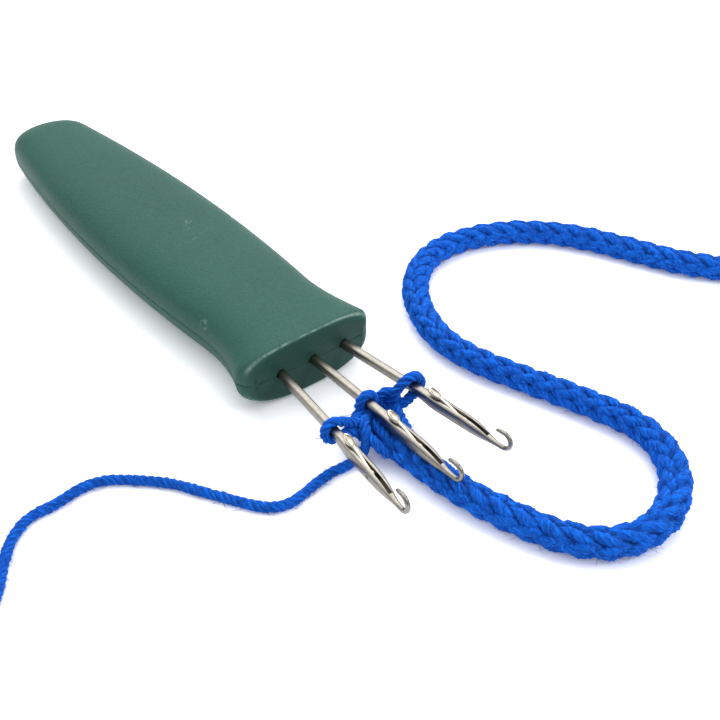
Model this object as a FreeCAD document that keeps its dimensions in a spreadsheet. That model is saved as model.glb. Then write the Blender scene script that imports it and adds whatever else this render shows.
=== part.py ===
"""Hand i-cord maker: a two-shell moulded handle that holds three fanned latch needles, with the
knitting that hangs on them.

Row frame in millimetres: +X runs along the tool towards the hooks, +Z is up and the tool lies on
z = 0. The origin is the centre of the tool's footprint, with the yarn left out. The shells are
drawn from the centre of the front face on the parting plane, a needle from the point where it
leaves the handle, and a latch from its rivet.
"""
import FreeCAD
import Part
import Sketcher
import math
import os
import re

V = FreeCAD.Vector
doc = FreeCAD.newDocument("icord_maker")

# ---------------------------------------------------------------- driving dimensions
SIZES = {
    # handle
    "handle_length": 145.0,        # tail to the front face, along X
    "handle_thickness": 16.2,      # both shells together
    "belly_half_width": 18.0,      # widest place of the grip
    "belly_behind_face": 65.0,
    "tail_half_width": 10.66615,   # where the bowed side line reaches the end of the tail
    "waist_behind_face": 20.0,
    "flare_radius": 48.0,          # hollow side line that widens to the front
    "front_radius": 200.0,         # slightly bowed front face
    "tail_end_radius": 17.0,       # blunt end arc of the tail
    "tail_corner_radius": 9.0,
    "shell_edge_radius": 6.6,      # long edges of the grip
    "front_edge_radius": 2.8,      # rim of the front face
    "shell_wall": 3.0,
    "rib_thickness": 2.0,
    "front_rib_behind_face": 12.0,
    "rear_rib_behind_face": 23.4,
    "butt_rib_behind_face": 28.1,
    "tail_rib_behind_face": 86.0,
    "peg_radius": 1.5,
    "peg_height": 3.0,
    "peg_clearance": 0.05,
    "boss_radius": 3.2,
    "front_peg_behind_face": 52.0,
    "front_peg_spacing": 17.0,
    "rear_peg_behind_face": 112.0,
    "rear_peg_spacing": 11.0,
    "exit_recess_width": 4.2,      # shallow relief round each needle in the front face
    "exit_recess_height": 3.2,
    "exit_recess_depth": 1.4,
    "seam_chamfer": 0.2,           # bevel that makes the parting line show
    # needles
    "needle_reach": 50.0,          # front face to the outside of the hook
    "needle_pitch": 9.0,           # centre to centre at the front face
    "fan_angle": 5.95,             # degrees between neighbouring needles
    "stem_width": 2.0,
    "stem_height": 2.2,
    "stem_inside": 28.0,           # length of stem held in the handle
    "channel_clearance": 0.04,
    "butt_length": 2.4,            # bent end that keys the needle
    "butt_drop": 3.0,
    "cheek_width": 2.7,            # flattened part that carries the latch
    "head_drop": 0.7,              # how far the head hangs below the stem
    "head_start": 23.0,            # from here on, distances from the face along the needle
    "cheek_start": 29.0,
    "rivet_at": 37.0,
    "cheek_end": 40.0,
    "slot_start": 28.0,
    "slot_end": 43.7,
    "slot_width": 0.9,
    "slot_floor": 0.35,
    "hook_wire_radius": 0.58,
    "hook_mean_radius": 2.02,
    "hook_arm": 1.6,
    # latches and rivets
    "rivet_below_axis": 0.4,
    "rivet_radius": 0.5,
    "rivet_clearance": 0.05,
    "latch_thickness": 0.74,
    "latch_eye_radius": 0.9,
    "latch_bar_height": 0.7,
    "latch_length": 10.8,
    "spoon_length": 3.7,
    "spoon_width": 2.0,
    "spoon_height": 0.9,
    "cup_depth": 0.5,
    "cup_rim": 0.35,
    "latch_open_angle": 15.6,      # an open latch leans back this far off the stem
    # knitting
    "yarn_diameter": 2.1,
    "cord_diameter": 5.6,
    "loop_radius": 2.85,           # stitch loop round a stem, to the middle of the yarn
    "loop_at": 18.4,
    "knit_head_start": 20.05,      # the newest rows of knitting, just in front of the loops
    "knit_head_length": 4.95,
    "knit_head_overhang": 0.5,     # past the middles of the outer stems at the face
    "knit_head_under_axis": 2.9,   # from the middle of the stems down to its top
    "soft_gap": 0.02,              # under soft pieces that lie on the floor
    "knot_radius": 3.1,
    "coil_mean_radius": 12.6,
    "coil_section_radius": 4.0,
    "coil_gap": 0.3,
}
sheet = doc.addObject("Spreadsheet::Sheet", "sizes")
for row, (name, number) in enumerate(SIZES.items(), 1):
    sheet.set(f"A{row}", name)
    sheet.set(f"B{row}", str(number))
    sheet.setAlias(f"B{row}", name)
doc.recompute()


def size(name):
    return float(sheet.get(name))


def cells(text):
    """An expression's text with each size name turned into its cell."""
    def cell(match):
        return "<<sizes>>." + match[0] if match[0] in SIZES else match[0]
    return re.sub("[a-z_]+", cell, text)


def amount(text):
    result = sheet.evalExpression(cells(text).replace("<<sizes>>.", ""))
    return float(getattr(result, "Value", result))


def bind(thing, **properties):
    """Drive properties of thing with expressions over the size names."""
    for prop, text in properties.items():
        thing.setExpression(prop.replace("__", "."), cells(text))


FACE_X = "( handle_length - needle_reach ) / 2"
AXIS_Z = "handle_thickness / 2"
SIDES = {"left": 1, "middle": 0, "right": -1}    # +Y is left for someone who holds the tool
face_x = (size("handle_length") - size("needle_reach")) / 2
axis_z = size("handle_thickness") / 2
half_height = size("handle_thickness") / 2


FINE = 0.001


# ---------------------------------------------------------------- handle shells
def circles_cross(a, radius_a, b, radius_b):
    """The crossing of two circles that lies nearer the tail."""
    gap = (b - a).Length
    along = (radius_a ** 2 - radius_b ** 2 + gap ** 2) / (2 * gap)
    off = math.sqrt(radius_a ** 2 - along ** 2)
    unit = (b - a).normalize()
    points = [a + unit * along + V(-unit.y, unit.x, 0) * sign * off for sign in (-1, 1)]
    return min(points, key=lambda p: p.x)


def grip_plan(inset, nose):
    """Plan outline of the grip from nose (X in the shell's frame) to the tail, shrunk by inset:
    hollow flare arcs, bowed belly arcs and one round tail arc on each side."""
    run = size("handle_length") - size("belly_behind_face")
    fall = size("belly_half_width") - size("tail_half_width")
    belly_radius = (run ** 2 + fall ** 2) / (2 * fall)
    belly = V(-size("belly_behind_face"), size("belly_half_width") - belly_radius, 0)
    reach = belly_radius + size("flare_radius")
    across = size("belly_behind_face") - size("waist_behind_face")
    flare = V(-size("waist_behind_face"), belly.y + math.sqrt(reach ** 2 - across ** 2), 0)
    belly_r = belly_radius - inset
    flare_r = size("flare_radius") + inset
    meet = belly + (flare - belly) * (belly_r / reach)

    def on_belly(x):
        return V(x, belly.y + math.sqrt(belly_r ** 2 - (x - belly.x) ** 2), 0)

    def on_flare(x):
        return V(x, flare.y - math.sqrt(flare_r ** 2 - (x - flare.x) ** 2), 0)

    end_r = size("tail_end_radius") - inset
    corner_r = size("tail_corner_radius") - inset
    end = V(-size("handle_length") + size("tail_end_radius"), 0, 0)
    corner = circles_cross(belly, belly_r - corner_r, end, end_r - corner_r)
    turn = corner + (corner - belly).normalize() * corner_r
    leave = corner + (corner - end).normalize() * corner_r
    bulge = corner + ((turn - corner).normalize() + (leave - corner).normalize()).normalize() * corner_r
    tip = V(end.x - end_r, 0, 0)
    start = on_flare(nose)
    half_turn = math.atan2(leave.y, leave.x - end.x)
    middle = V(math.cos((half_turn + math.pi) / 2), math.sin((half_turn + math.pi) / 2), 0)
    side = [
        Part.Arc(start, on_flare((nose + meet.x) / 2), meet),
        Part.Arc(meet, on_belly((meet.x + turn.x) / 2), turn),
        Part.Arc(turn, bulge, leave),
        Part.Arc(leave, end + middle * end_r, tip),
    ]
    edges = [curve.toShape() for curve in side]
    edges += [edge.mirror(V(0, 0, 0), V(0, 1, 0)) for edge in edges]
    edges.append(Part.makeLine(start, V(start.x, -start.y, 0)))
    return Part.Face(Part.Wire(Part.__sortEdges__(edges)))


def grip_half(inset, nose, height):
    """Half of the grip, from the parting plane up to height, with its long edges rounded."""
    block = grip_plan(inset, nose).extrude(V(0, 0, height))
    rim = [e for e in block.Edges
           if all(abs(v.Z - height) < FINE for v in e.Vertexes) and e.CenterOfMass.x < nose - FINE]
    return block.makeFillet(size("shell_edge_radius") - inset, rim)


def front_half():
    """The outer shape of one shell, with its bowed front face and rounded front rim."""
    nose = size("shell_edge_radius")
    block = grip_half(0.0, nose, half_height)
    centre = V(-size("front_radius"), 0, -half_height)
    bow = Part.makeCylinder(size("front_radius"), 3 * half_height, centre, V(0, 0, 1))
    block = block.common(bow)

    def on_face(vertex):
        return abs(math.hypot(vertex.X - centre.x, vertex.Y) - size("front_radius")) < FINE

    rim = [e for e in block.Edges
           if all(on_face(v) for v in e.Vertexes) and e.CenterOfMass.z > FINE]
    block = block.makeFillet(size("front_edge_radius"), rim)
    seam = [e for e in block.Edges if all(abs(v.Z) < FINE for v in e.Vertexes)]
    return block.makeChamfer(size("seam_chamfer"), seam)



def shape_feature(label, shape):
    made = doc.addObject("Part::Feature", label)
    made.Shape = shape
    return made


def box(label, length, width, height, place):
    made = doc.addObject("Part::Box", label)
    bind(made, Length=length, Width=width, Height=height, Placement=place)
    return made


def cylinder(label, radius, height, place):
    made = doc.addObject("Part::Cylinder", label)
    bind(made, Radius=radius, Height=height, Placement=place)
    return made


def combine(kind, label, *parts):
    made = doc.addObject("Part::" + kind, label)
    if kind == "Cut":
        made.Base, made.Tool = parts
    else:
        made.Shapes = list(parts)
    return made


def place_at(x, y, z, yaw="0", pitch="0", roll="0"):
    return f"placement( vector( {x} ; {y} ; {z} ) ; rotation( {yaw} ; {pitch} ; {roll} ) )"


def shell_blocks(tag):
    """What stays solid inside a shell: ribs across it and the bosses round the pegs."""
    blocks = []
    for rib in ("front_rib", "rear_rib", "butt_rib", "tail_rib"):
        place = place_at(f"- {rib}_behind_face - rib_thickness", "- 2 * belly_half_width", "0")
        blocks.append(box(f"{tag}_{rib}", "rib_thickness", "4 * belly_half_width",
                          "handle_thickness", place))
    for row, spot in peg_spots():
        place = place_at(*spot, "0")
        blocks.append(cylinder(f"{tag}_{row}_boss", "boss_radius", "handle_thickness", place))
    return combine("MultiFuse", f"{tag}_blocks", *blocks)


def peg_spots():
    for row in ("front_peg", "rear_peg"):
        for name, side in (("a", "1"), ("b", "-1")):
            yield f"{row}_{name}", (f"- {row}_behind_face", f"{side} * {row}_spacing / 2")


def shell_cuts(tag):
    """Channels for the three stems, the reliefs round them and the hollow of the grip."""
    hollow = grip_half(size("shell_wall"), -size("shell_wall"), half_height - size("shell_wall"))
    cuts = [combine("Cut", f"{tag}_hollow", shape_feature(f"{tag}_inside", hollow),
                    shell_blocks(tag))]
    for name, side in SIDES.items():
        turn = f"{side} * fan_angle"
        along = f"( {side} * needle_pitch )"
        for kind, back, width, height in (
                ("channel", "( stem_inside + channel_clearance )",
                 "( stem_width + 2 * channel_clearance )", "( stem_height / 2 + channel_clearance )"),
                ("relief", "exit_recess_depth", "exit_recess_width", "( exit_recess_height / 2 )")):
            x = f"- {back} * cos( {turn} ) + {width} / 2 * sin( {turn} )"
            y = f"{along} - {back} * sin( {turn} ) - {width} / 2 * cos( {turn} )"
            cuts.append(box(f"{tag}_{name}_{kind}", f"{back} + handle_thickness", width, height,
                            place_at(x, y, "0", turn)))
    return cuts


def upper_shell():
    cuts = shell_cuts("upper")
    for row, spot in peg_spots():
        cuts.append(cylinder(f"upper_{row}_socket", "peg_radius",
                             "peg_height + 2 * peg_clearance", place_at(*spot, "0")))
    shell = combine("Cut", "handle_upper_shell", shape_feature("upper_outside", front_half()),
                    combine("MultiFuse", "upper_cuts", *cuts))
    bind(shell, Placement=place_at(FACE_X, "0", AXIS_Z))
    return shell


def lower_shell():
    """The lower shell is drawn upside down, so that its parting plane faces the same way."""
    body = combine("Cut", "lower_body", shape_feature("lower_outside", front_half()),
                   combine("MultiFuse", "lower_cuts", *shell_cuts("lower")))
    pegs = [cylinder(f"lower_{row}", "peg_radius - peg_clearance", "2 * peg_height",
                     place_at(*spot, "- peg_height")) for row, spot in peg_spots()]
    shell = combine("MultiFuse", "handle_lower_shell", body, *pegs)
    bind(shell, Placement=place_at(FACE_X, "0", AXIS_Z, "0", "0", "180"))
    return shell


# ---------------------------------------------------------------- sketched bodies
def new_body(label, place):
    body = doc.addObject("PartDesign::Body", label)
    bind(body, Placement=place)
    return body


def new_sketch(body, label, plane, offset=None):
    sketch = body.newObject("Sketcher::SketchObject", label)
    origin = [f for f in body.Origin.OriginFeatures if f.Role == plane][0]
    sketch.AttachmentSupport = [(origin, "")]
    sketch.MapMode = "FlatFace"
    if offset:
        bind(sketch, AttachmentOffset__Base__z=offset)
    return sketch


def pin_down(sketch, edge, end, x, y):
    for kind, text in (("DistanceX", x), ("DistanceY", y)):
        index = sketch.addConstraint(Sketcher.Constraint(kind, -1, 1, edge, end, amount(text)))
        sketch.setExpression(f"Constraints[{index}]", cells(text))


def polygon(sketch, corners):
    first = sketch.GeometryCount
    points = [V(amount(x), amount(y), 0) for x, y in corners]
    for i, point in enumerate(points):
        sketch.addGeometry(Part.LineSegment(point, points[(i + 1) % len(points)]))
    for i, (x, y) in enumerate(corners):
        before = first + (i - 1) % len(corners)
        sketch.addConstraint(Sketcher.Constraint("Coincident", before, 2, first + i, 1))
        pin_down(sketch, first + i, 1, x, y)


def disc(sketch, x, y, radius):
    middle = V(amount(x), amount(y), 0)
    edge = sketch.addGeometry(Part.Circle(middle, V(0, 0, 1), amount(radius)))
    pin_down(sketch, edge, 3, x, y)
    index = sketch.addConstraint(Sketcher.Constraint("Radius", edge, amount(radius)))
    sketch.setExpression(f"Constraints[{index}]", cells(radius))


def grow(body, kind, label, sketch, length, side="One side", flip=False):
    made = body.newObject("PartDesign::" + kind, label)
    made.Profile = sketch
    made.SideType = side
    made.Reversed = flip
    bind(made, Length=length)
    doc.recompute()
    return made


def round_off(body, label, radius, wanted):
    base = body.Tip
    names = [f"Edge{i}" for i, edge in enumerate(base.Shape.Edges, 1) if wanted(edge)]
    made = body.newObject("PartDesign::Fillet", label)
    made.Base = (base, names)
    bind(made, Radius=radius)
    doc.recompute()
    return made


# ---------------------------------------------------------------- needles
def needle_place(side, along, up, pitch="0"):
    """Placement of something that lies along a needle, from a distance in front of the face."""
    turn = f"{side} * fan_angle"
    return place_at(f"{FACE_X} + ( {along} ) * cos( {turn} )",
                    f"{side} * needle_pitch + ( {along} ) * sin( {turn} )",
                    f"{AXIS_Z} + {up}", turn, pitch)


HOOK_X = "( needle_reach - hook_mean_radius - hook_wire_radius )"
WIRE_Z = "( - stem_height / 2 - head_drop + hook_wire_radius )"


def needle(name, side):
    """Stem with a bent butt, flattened cheeks with the latch slot, and a round wire hook."""
    body = new_body(f"needle_{name}", needle_place(side, "0", "0"))
    top = "stem_height / 2"
    low = "- stem_height / 2"
    drop = "- stem_height / 2 - head_drop"
    back = "- stem_inside"
    profile = new_sketch(body, f"{name}_profile", "XZ_Plane")
    polygon(profile, [
        (back, top), ("cheek_start", top), ("cheek_end", "stem_height / 2 - 0.35"),
        ("slot_end", "0"), ("slot_end + 1.6", f"{WIRE_Z} + hook_wire_radius * 0.8"),
        (HOOK_X, f"{WIRE_Z} + hook_wire_radius * 0.8"), (HOOK_X, drop),
        ("cheek_start", drop), ("head_start", low),
        (f"{back} + butt_length", low), (f"{back} + butt_length", f"{low} - butt_drop"),
        (back, f"{low} - butt_drop")])
    grow(body, "Pad", f"{name}_blank", profile, "cheek_width", "Symmetric")
    plan = new_sketch(body, f"{name}_plan", "XY_Plane")
    for hand in ("", "-1 * "):
        polygon(plan, [
            ("- handle_length", f"{hand}stem_width / 2"), ("head_start", f"{hand}stem_width / 2"),
            ("cheek_start + 2", f"{hand}cheek_width / 2"), ("cheek_end", f"{hand}cheek_width / 2"),
            ("slot_end + 2", f"{hand}hook_wire_radius * 0.9"),
            ("needle_reach", f"{hand}hook_wire_radius * 0.9"),
            ("needle_reach", f"{hand}cheek_width"), ("- handle_length", f"{hand}cheek_width")])
    grow(body, "Pocket", f"{name}_taper", plan, "4 * handle_thickness", "Symmetric")
    slot = new_sketch(body, f"{name}_slot_plan", "XZ_Plane")
    polygon(slot, [
        ("slot_start", "stem_height"), ("slot_start", f"{top} - 0.3"),
        ("slot_start + 3.5", f"{drop} + slot_floor"), ("slot_end - 1", f"{drop} + slot_floor"),
        ("slot_end", "0"), ("slot_end", "stem_height")])
    grow(body, "Pocket", f"{name}_slot", slot, "slot_width", "Symmetric")
    hole = new_sketch(body, f"{name}_hole_plan", "XZ_Plane")
    disc(hole, "rivet_at", "- rivet_below_axis", "rivet_radius")
    grow(body, "Pocket", f"{name}_hole", hole, "2 * cheek_width", "Symmetric")
    # the hook: a straight wire, half a ring, and the free arm that points back
    wire = new_sketch(body, f"{name}_wire_end", "YZ_Plane", HOOK_X)
    disc(wire, "0", WIRE_Z, "hook_wire_radius")
    grow(body, "Pad", f"{name}_wire", wire, f"{HOOK_X} - slot_end - 0.6", "One side", True)
    bend = new_sketch(body, f"{name}_bend_end", "YZ_Plane", HOOK_X)
    disc(bend, "0", WIRE_Z, "hook_wire_radius")
    middle = f"{WIRE_Z} + hook_mean_radius"
    ends = [V(-1, amount(middle), 0), V(1, amount(middle), 0)]
    axle = bend.addGeometry(Part.LineSegment(*ends), True)
    for end, x in ((1, "-1"), (2, "1")):
        pin_down(bend, axle, end, x, middle)
    turn = body.newObject("PartDesign::Revolution", f"{name}_bend")
    turn.Profile = bend
    turn.ReferenceAxis = (bend, ["Axis0"])
    turn.Angle = 180
    turn.Reversed = True
    doc.recompute()
    arm = new_sketch(body, f"{name}_arm_end", "YZ_Plane", HOOK_X)
    disc(arm, "0", f"{WIRE_Z} + 2 * hook_mean_radius", "hook_wire_radius")
    grow(body, "Pad", f"{name}_arm", arm, "hook_arm", "One side", True)

    def arm_tip(edge):
        box = edge.BoundBox
        back = amount(HOOK_X) - amount("hook_arm")
        return abs(box.XMax - back) < FINE and box.XLength < FINE and box.ZMin > 0

    round_off(body, f"{name}_arm_tip", "hook_wire_radius * 0.8", arm_tip)
    return body


def latch(name, side):
    """Swinging latch, drawn pointing back from its rivet: eye, bar and hollow spoon."""
    place = needle_place(side, "rivet_at", "( - rivet_below_axis )", "latch_open_angle")
    body = new_body(f"latch_{name}", place)
    spoon_start = "( spoon_length - latch_length )"
    outline = new_sketch(body, f"{name}_latch_side", "XZ_Plane")
    polygon(outline, [
        ("0", "- latch_bar_height / 2"), ("0", "latch_bar_height / 2"),
        (f"{spoon_start} - 0.5", "latch_bar_height * 0.4"),
        (f"{spoon_start} - 0.5", "- latch_bar_height * 0.4")])
    grow(body, "Pad", f"{name}_latch_bar", outline, "latch_thickness", "Symmetric")
    eye = new_sketch(body, f"{name}_latch_eye_side", "XZ_Plane")
    disc(eye, "0", "0", "latch_eye_radius")
    grow(body, "Pad", f"{name}_latch_eye", eye, "latch_thickness", "Symmetric")
    spoon = new_sketch(body, f"{name}_spoon_plan", "XY_Plane", "- spoon_height / 2")
    spoon_outline(spoon, "0")
    grow(body, "Pad", f"{name}_spoon", spoon, "spoon_height")
    cup = new_sketch(body, f"{name}_cup_plan", "XY_Plane", "spoon_height / 2 - cup_depth")
    spoon_outline(cup, "cup_rim")
    grow(body, "Pocket", f"{name}_cup", cup, "spoon_height", "One side", True)
    hole = new_sketch(body, f"{name}_latch_hole_side", "XZ_Plane")
    disc(hole, "0", "0", "rivet_radius + rivet_clearance")
    grow(body, "Pocket", f"{name}_latch_hole", hole, "cheek_width", "Symmetric")
    return body


def spoon_outline(sketch, inset):
    """A leaf shape: narrow at the bar, widest past the middle, blunt at the tip."""
    near = f"( spoon_length - latch_length - {inset} * 2 )"
    far = f"( {inset} - latch_length )"
    half = f"( spoon_width / 2 - {inset} )"
    polygon(sketch, [
        (near, f"{half} * 0.3"), (f"{near} - 1.2", half), (f"{far} + 1.0", half),
        (f"{far} + 0.25", f"{half} * 0.72"), (far, f"{half} * 0.25"),
        (far, f"{half} * -0.25"), (f"{far} + 0.25", f"{half} * -0.72"),
        (f"{far} + 1.0", f"{half} * -1"), (f"{near} - 1.2", f"{half} * -1"),
        (near, f"{half} * -0.3")])


def rivet(name, side):
    body = new_body(f"latch_rivet_{name}", needle_place(side, "rivet_at", "( - rivet_below_axis )"))
    end = new_sketch(body, f"{name}_rivet_end", "XZ_Plane")
    disc(end, "0", "0", "rivet_radius")
    grow(body, "Pad", f"{name}_rivet_pin", end, "cheek_width", "Symmetric")
    return body


# ---------------------------------------------------------------- knitting and yarn
def stitch(name, side):
    """One live stitch: a ring of yarn round the stem."""
    ring = doc.addObject("Part::Torus", f"stitch_{name}")
    place = needle_place(side, "loop_at", "0", "90")
    bind(ring, Radius1="loop_radius", Radius2="yarn_diameter / 2", Placement=place)
    return ring


def knit_head():
    half_width = "( needle_pitch + knit_head_overhang )"
    return box("knit_head", "knit_head_length", f"2 * {half_width}",
               f"{AXIS_Z} - knit_head_under_axis - soft_gap",
               place_at(f"{FACE_X} + knit_head_start", f"- {half_width}", "soft_gap"))


def rounded_path(points):
    """Straight runs joined by arcs that touch them, and the radii of those arcs."""
    edges = []
    radii = []
    start = points[0]
    for before, corner, after in zip(points, points[1:], points[2:]):
        back = before - corner
        ahead = after - corner
        run = min(back.Length, ahead.Length)
        half_turn = (math.pi - back.getAngle(ahead)) / 2
        radius = 0.45 * run / math.tan(half_turn)
        radii.append(radius)
        back.normalize()
        ahead.normalize()
        inward = (back + ahead).normalize()
        arc_start = corner + back * (0.45 * run)
        arc_end = corner + ahead * (0.45 * run)
        crown = corner + inward * (radius / math.cos(half_turn) - radius)
        edges.append(Part.LineSegment(start, arc_start).toShape())
        edges.append(Part.Arc(arc_start, crown, arc_end).toShape())
        start = arc_end
    edges.append(Part.LineSegment(start, points[-1]).toShape())
    return Part.Wire(edges), radii


def tube(label, diameter, route):
    """Round cord that lies on the floor along route, given from the centre of the front face."""
    height = diameter / 2 + size("soft_gap")
    points = [V(face_x + x, y, height) for x, y in route]
    path, radii = rounded_path(points)
    ring = Part.makeCircle(diameter / 2, points[0], (points[1] - points[0]).normalize())
    solid = path.makePipeShell([Part.Wire(ring)], True, True)
    whole = math.pi * diameter ** 2 / 4 * path.Length
    print(f"{label}: length {path.Length:.1f}, radii", [round(r, 1) for r in radii],
          f"volume {solid.Volume:.1f} of {whole:.1f}")
    return shape_feature(label, solid)


def ball(label, radius, place):
    made = doc.addObject("Part::Sphere", label)
    bind(made, Radius=radius, Placement=place)
    return made


def ahead_of(route, step):
    """The point step beyond the end of a route."""
    last = V(*route[-1], 0)
    return last + (last - V(*route[-2], 0)).normalize() * step


CORD_ROUTE = [
    (size("knit_head_start") + size("knit_head_length"), -1.5), (33.5, -1.5), (43.0, -1.2),
    (52.2, 0.2), (62.3, 3.7), (71.4, 8.6), (77.3, 17.2), (78.7, 27.5), (75.2, 37.3), (67.7, 44.5),
    (57.7, 47.5), (47.8, 45.5), (38.5, 42.2), (28.9, 38.6), (18.9, 35.6), (6.9, 35.0),
    (-5.5, 37.8), (-15.4, 43.7), (-23.4, 55.5), (-23.0, 68.3), (-18.2, 79.3), (-11.4, 88.5),
    (-2.8, 95.7), (10.5, 101.8), (23.3, 106.6), (31.5, 112.2), (40.0, 120.0), (46.0, 130.0),
    (47.0, 142.0), (42.3, 152.5)]
knot_at = ahead_of(CORD_ROUTE, size("knot_radius") + 0.25)
tail_at = ahead_of(CORD_ROUTE, 2 * size("knot_radius") + 0.4)
TAIL_ROUTE = [(tail_at.x, tail_at.y), (36.2, 164.4), (30.5, 168.8), (23.5, 170.3), (16.6, 168.6)]
YARN_ROUTE = [
    (24.2, -size("needle_pitch") - size("knit_head_overhang")), (24.2, -15.0), (25.2, -21.2), (26.0, -27.0),
    (24.6, -31.8), (19.8, -35.6), (13.3, -39.2), (7.0, -43.2), (1.6, -47.8), (-2.6, -53.0),
    (-4.0, -58.5), (-3.2, -64.6), (-3.4, -70.2), (-0.8, -75.2), (4.0, -79.0), (8.9, -81.5),
    (13.5, -84.6), (17.3, -88.8), (19.6, -94.0), (20.0, -99.5)]
COIL_HEIGHT = "( coil_section_radius + soft_gap )"
rise = size("coil_section_radius") - size("yarn_diameter") / 2
touch = size("coil_section_radius") + size("yarn_diameter") / 2 + size("coil_gap")
coil_reach = size("coil_mean_radius") + math.sqrt(touch ** 2 - rise ** 2)


def yarn_coil():
    """The rest of the yarn, wound into a ring beside the end of the loose strand."""
    coil = doc.addObject("Part::Torus", "yarn_coil")
    x = f"{FACE_X} + {YARN_ROUTE[-1][0] - coil_reach}"
    bind(coil, Radius1="coil_mean_radius", Radius2="coil_section_radius",
         Placement=place_at(x, f"{YARN_ROUTE[-1][1]}", COIL_HEIGHT))
    return coil


# ---------------------------------------------------------------- build, check and export
parts = [upper_shell(), lower_shell()]
for side_name, side_sign in SIDES.items():
    parts.append(needle(side_name, str(side_sign)))
    parts.append(latch(side_name, str(side_sign)))
    parts.append(rivet(side_name, str(side_sign)))
    parts.append(stitch(side_name, str(side_sign)))
parts.append(knit_head())
parts.append(tube("i_cord", size("cord_diameter"), CORD_ROUTE))
parts.append(ball("cast_on_knot", "knot_radius",
                  place_at(f"{FACE_X} + {knot_at.x}", f"{knot_at.y}", "knot_radius + soft_gap")))
parts.append(tube("i_cord_tail", size("yarn_diameter"), TAIL_ROUTE))
parts.append(tube("working_yarn", size("yarn_diameter"), YARN_ROUTE))
parts.append(yarn_coil())
doc.recompute()
for thing in doc.Objects:
    if "Invalid" in thing.State or "Error" in thing.State:
        raise RuntimeError(f"{thing.Label} did not recompute: {thing.State}")
os.makedirs("parts", exist_ok=True)
for part in parts:
    shape = part.Shape
    if shape.isNull() or not shape.isValid() or len(shape.Solids) != 1:
        raise RuntimeError(f"{part.Label} is not one valid solid")
    extent = shape.optimalBoundingBox(False)
    print(part.Label, f"{shape.Volume:.1f} mm3, from ({extent.XMin:.2f}, {extent.YMin:.2f},",
          f"{extent.ZMin:.2f}) to ({extent.XMax:.2f}, {extent.YMax:.2f}, {extent.ZMax:.2f})")
    shape.exportStep(f"parts/{part.Label}.step")
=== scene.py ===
"""I-cord maker: a moulded green grip with three fanned latch needles and the knitting on them.

Every length in the tables is in millimetres; MM turns it into the metres of the model.
"""
from functools import partial
from math import atan2, copysign, cos, pi, radians, sin, sqrt

import bmesh
import bpy
import numpy as np
from mathutils import Matrix, Vector


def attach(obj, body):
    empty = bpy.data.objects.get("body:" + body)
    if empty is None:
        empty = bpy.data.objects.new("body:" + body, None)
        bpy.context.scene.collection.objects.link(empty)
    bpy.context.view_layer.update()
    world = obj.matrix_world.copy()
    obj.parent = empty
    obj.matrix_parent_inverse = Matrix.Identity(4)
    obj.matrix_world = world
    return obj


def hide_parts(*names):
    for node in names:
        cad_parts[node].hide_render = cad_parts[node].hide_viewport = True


bl_info = {
    "name": "I-Cord Maker",
    "version": (1, 0, 0),
    "blender": (4, 5, 0),
    "location": "View3D > Sidebar > I-Cord Maker",
    "description": "Builds a hand i-cord maker with its latch needles and knitting",
    "category": "Add Mesh",
}

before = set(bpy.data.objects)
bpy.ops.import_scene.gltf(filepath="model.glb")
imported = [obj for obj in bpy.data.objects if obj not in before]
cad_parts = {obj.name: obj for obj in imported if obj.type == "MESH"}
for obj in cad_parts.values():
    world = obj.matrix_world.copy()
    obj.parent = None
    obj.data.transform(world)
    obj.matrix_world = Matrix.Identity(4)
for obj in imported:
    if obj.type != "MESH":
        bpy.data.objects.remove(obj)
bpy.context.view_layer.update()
MM = 0.001
MERGE_DISTANCE = 0.004 * MM       # vertices this near are one

# -------- sizes that the pieces share
FACE_X = 47.5            # centre of the front face on the parting plane
AXIS_Z = 8.1             # parting plane, and the middle of the needle stems
NEEDLE_PITCH = 9.0
FAN_ANGLE = radians(5.95)
SIDES = {"left": 1, "middle": 0, "right": -1}
RIVET_AT = (37.0, 0, -0.4)           # along a needle, from the front face
RIVET_RADIUS, RIVET_LENGTH = 0.5, 2.52
DISH_LIP, DISH_SLOPE, DISH_DEPTH = 0.12 * MM, 0.14 * MM, 0.16 * MM
LATCH_CLEARANCE = 0.05
LATCH_OPEN = radians(15.6)


def linear(code):
    """An sRGB hex colour as the linear red, green and blue that shaders use."""
    parts = [int(code[i:i + 2], 16) / 255 for i in (1, 3, 5)]
    return tuple(c / 12.92 if c <= 0.04045 else ((c + 0.055) / 1.055) ** 2.4 for c in parts)


# -------- what a user would change
def colour_choice(name, description, code):
    return bpy.props.FloatVectorProperty(name=name, description=description, subtype="COLOR",
                                         min=0, max=1, default=linear(code))


class GripSettings(bpy.types.PropertyGroup):
    colour: colour_choice("Plastic colour", "Colour of the moulded grip", "#284F44")
    top_fullness: bpy.props.FloatProperty(
        name="Top fullness", description="Squareness of the upper shell's section, 2 is an ellipse",
        default=2.75, min=2, max=6)
    bottom_fullness: bpy.props.FloatProperty(
        name="Bottom fullness", description="Squareness of the lower shell's section",
        default=2.6, min=2, max=6)
    front_rim: bpy.props.FloatProperty(
        name="Front rim radius", description="Rounding between the top and the front face",
        default=1.2 * MM, min=0.5 * MM, max=2 * MM, unit="LENGTH")


class MetalSettings(bpy.types.PropertyGroup):
    needle_colour: colour_choice("Needle colour", "Colour of the nickel plate", "#8E8981")
    latch_colour: colour_choice("Latch colour", "Colour of the polished latches", "#C6BEAE")


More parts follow.
